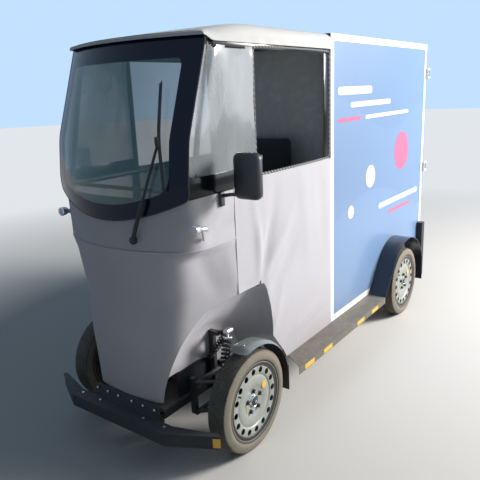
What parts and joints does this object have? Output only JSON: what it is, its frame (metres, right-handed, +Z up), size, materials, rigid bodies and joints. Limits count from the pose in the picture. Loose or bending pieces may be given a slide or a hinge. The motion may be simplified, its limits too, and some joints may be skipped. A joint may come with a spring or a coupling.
{
  "type": "four-wheeled enclosed cargo bike",
  "caption": "Enclosed pedal cargo bike on car-type wheels with a fabric cab, bowed windscreen, open side windows and a tall panelled cargo box with rear doors.",
  "frame": {"origin": "on the ground under the middle of the overall length and width", "axes": "+Y to the rear along the length, +X to the rider's left, +Z up"},
  "size_m": [1.315, 3.3199, 2.1119],
  "materials": {
    "tyre_rubber": "matt, dusty",
    "wheel_steel": "silver grey",
    "cast_dark": "matt",
    "black_steel": "satin black",
    "damper": "satin",
    "grey_fabric": "coated cloth, matt",
    "roof_fabric": "coated cloth, matt",
    "clear_pane": "clear",
    "clear_film": "clear film",
    "black_trim": "gloss black",
    "lamp_red": "gloss",
    "black_plastic": "satin black",
    "board_metal": "grey, worn",
    "box_alloy": "white coated",
    "box_panel_blue": "satin",
    "box_panel_white": "satin",
    "seat_vinyl": "matt",
    "bright_alloy": "satin"
  },
  "bodies": {
    "vehicle": {"chassis_frame": "black_steel", "rear_axle": "black_steel", "wishbones": "black_steel", "front_bumper": "black_steel", "nose_skirt": "black_steel", "rear_bumper": "black_steel", "cab_frame": "black_steel", "seat_frame": "black_steel", "steering_column": "black_steel", "shocks": "damper", "nose_cover": "grey_fabric", "cowl": "grey_fabric", "side_panel_left": "grey_fabric", "side_panel_right": "grey_fabric", "roof_cover": "roof_fabric", "windscreen_glass": "clear_pane", "side_films": "clear_film", "windscreen_border": "black_trim", "wiper": "black_trim", "mirror_left": "black_trim", "mirror_right": "black_trim", "turn_signals": "black_trim", "rear_lamps": "lamp_red", "rear_mudguards": "black_plastic", "wheel_linings": "black_plastic", "pedal_generator": "black_plastic", "running_boards": "board_metal", "cab_floor": "board_metal", "box_frame": "box_alloy", "door_hinges": "box_alloy", "box_side_wall_left": "box_panel_blue", "box_side_wall_right": "box_panel_blue", "box_roof": "box_panel_white", "box_front_wall": "box_panel_white", "box_floor": "box_panel_white", "seat_base": "seat_vinyl", "seat_back": "seat_vinyl"},
    "steer_left": {"knuckle_left": "cast_dark", "front_mudguard_left": "black_plastic"},
    "steer_right": {"knuckle_right": "cast_dark", "front_mudguard_right": "black_plastic"},
    "wheel_front_left": {"tyre_front_left": "tyre_rubber", "rim_front_left": "wheel_steel"},
    "wheel_front_right": {"tyre_front_right": "tyre_rubber", "rim_front_right": "wheel_steel"},
    "wheel_rear_left": {"tyre_rear_left": "tyre_rubber", "rim_rear_left": "wheel_steel"},
    "wheel_rear_right": {"tyre_rear_right": "tyre_rubber", "rim_rear_right": "wheel_steel"},
    "door_left": {"rear_door_left": "box_panel_blue"},
    "door_right": {"rear_door_right": "box_panel_blue"},
    "steering_bar": {"handlebar": "bright_alloy"},
    "track_rod": {"tie_rod": "black_steel"},
    "pedal_crank": {"crank": "bright_alloy"}
  },
  "joints": [
    {"name": "steer_left", "type": "hinge", "parent": "vehicle", "child": "steer_left", "pos_m": [0.43, -1.205, 0.271], "axis": [0, 0, 1], "range_deg": [-30, 30]},
    {"name": "steer_right", "type": "hinge", "parent": "vehicle", "child": "steer_right", "pos_m": [-0.43, -1.205, 0.271], "axis": [0, 0, 1], "range_deg": [-30, 30]},
    {"name": "roll_front_left", "type": "hinge", "parent": "steer_left", "child": "wheel_front_left", "pos_m": [0.503, -1.205, 0.271], "axis": [1, 0, 0], "continuous": true},
    {"name": "roll_front_right", "type": "hinge", "parent": "steer_right", "child": "wheel_front_right", "pos_m": [-0.503, -1.205, 0.271], "axis": [1, 0, 0], "continuous": true},
    {"name": "roll_rear_left", "type": "hinge", "parent": "vehicle", "child": "wheel_rear_left", "pos_m": [0.503, 0.915, 0.271], "axis": [1, 0, 0], "continuous": true},
    {"name": "roll_rear_right", "type": "hinge", "parent": "vehicle", "child": "wheel_rear_right", "pos_m": [-0.503, 0.915, 0.271], "axis": [1, 0, 0], "continuous": true},
    {"name": "handlebar_turn", "type": "hinge", "parent": "vehicle", "child": "steering_bar", "pos_m": [0, -1.025, 1.08], "axis": [0, 0.355, 0.9349], "range_deg": [-30, 30]},
    {"name": "track_rod_slide", "type": "slide", "parent": "vehicle", "child": "track_rod", "axis": [1, 0, 0], "range_m": [-0.045, 0.045]},
    {"name": "rear_door_left_swing", "type": "hinge", "parent": "vehicle", "child": "door_left", "pos_m": [0.452, 1.611, 1.2], "axis": [0, 0, -1], "range_deg": [0, 180]},
    {"name": "rear_door_right_swing", "type": "hinge", "parent": "vehicle", "child": "door_right", "pos_m": [-0.452, 1.611, 1.2], "axis": [0, 0, 1], "range_deg": [0, 180]},
    {"name": "crank_turn", "type": "hinge", "parent": "vehicle", "child": "pedal_crank", "pos_m": [0, -1.055, 0.56], "axis": [1, 0, 0], "continuous": true}
  ],
  "couplings": [
    {"joint": "steer_right", "follows": "steer_left", "ratio": 1},
    {"joint": "handlebar_turn", "follows": "steer_left", "ratio": 1},
    {"joint": "track_rod_slide", "follows": "steer_left", "m_per_rad": -0.084}
  ]
}
